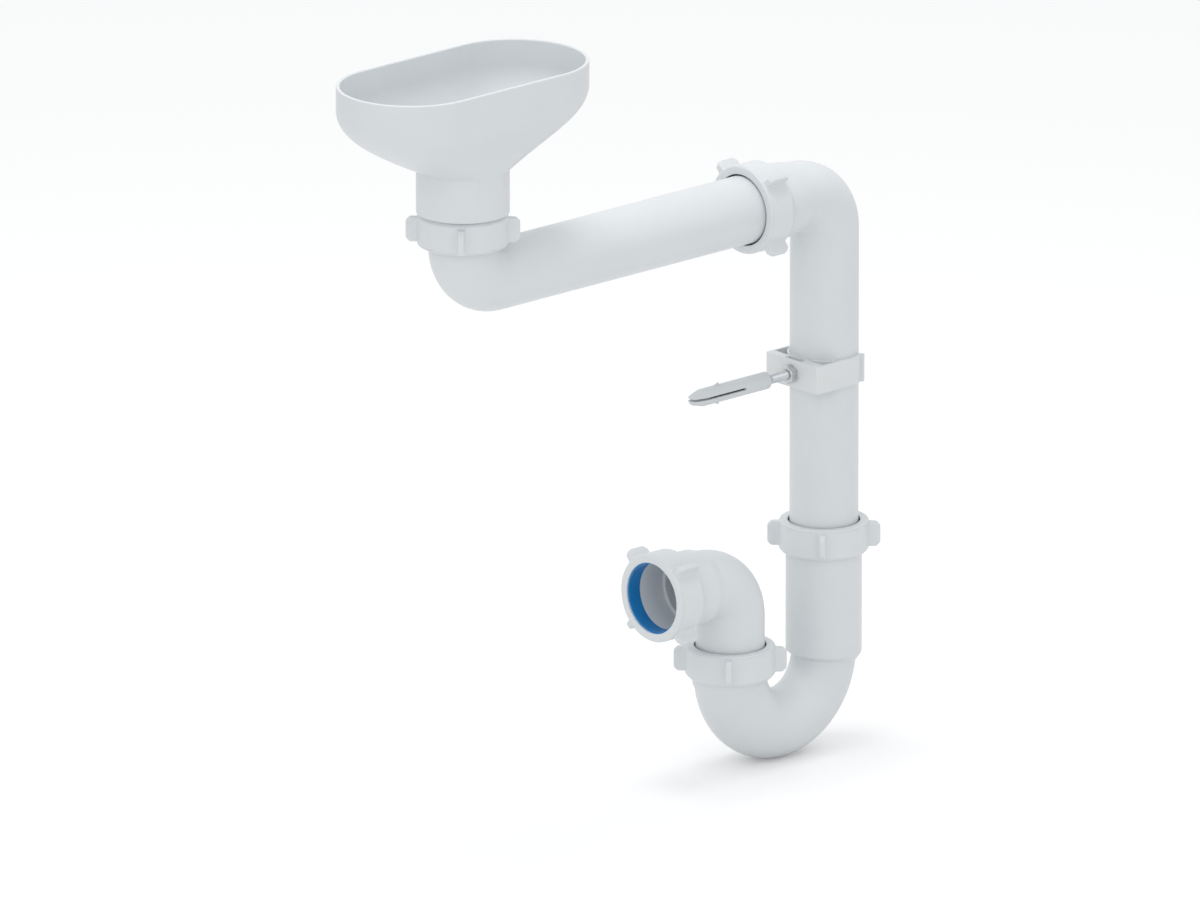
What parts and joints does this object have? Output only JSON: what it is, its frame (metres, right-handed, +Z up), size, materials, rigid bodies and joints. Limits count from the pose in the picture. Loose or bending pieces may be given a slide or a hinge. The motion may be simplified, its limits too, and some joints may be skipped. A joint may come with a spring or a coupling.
{
  "type": "offset drain trap",
  "caption": "Plastic drain trap with an open oval hopper, swivel arm, drop pipe, U-bend, side outlet with winged compression nuts, and a screw-in wall clip.",
  "frame": {"origin": "on the axis of the outlet, at the pipe stop inside the outlet socket", "axes": "the outlet opens towards -X, +Z is up along the drop pipe, every pipe axis lies in the XZ plane"},
  "size_m": [0.3942, 0.0866, 0.4609],
  "materials": {
    "trap_plastic": "satin moulded polypropylene",
    "seal_blue": "smooth soft seal",
    "clip_plastic": "satin moulded plastic",
    "plug_nylon": "satin nylon",
    "bolt_steel": "bright zinc plate",
    "nut_steel": "zinc plate"
  },
  "bodies": {
    "root": {"hopper": "trap_plastic", "hopper_nut": "trap_plastic", "hopper_seal": "seal_blue", "swivel_arm": "trap_plastic", "arm_nut": "trap_plastic", "arm_seal": "seal_blue", "drop_pipe": "trap_plastic", "inlet_nut": "trap_plastic", "inlet_seal": "seal_blue", "trap_bend": "trap_plastic", "outlet_leg_nut": "trap_plastic", "outlet_leg_seal": "seal_blue", "outlet_elbow": "trap_plastic", "outlet_nut": "trap_plastic", "outlet_seal": "seal_blue", "pipe_clip": "clip_plastic", "clip_square_nut": "nut_steel", "clip_lock_nut": "nut_steel", "hanger_bolt": "bolt_steel", "wall_plug": "plug_nylon"}
  },
  "joints": []
}
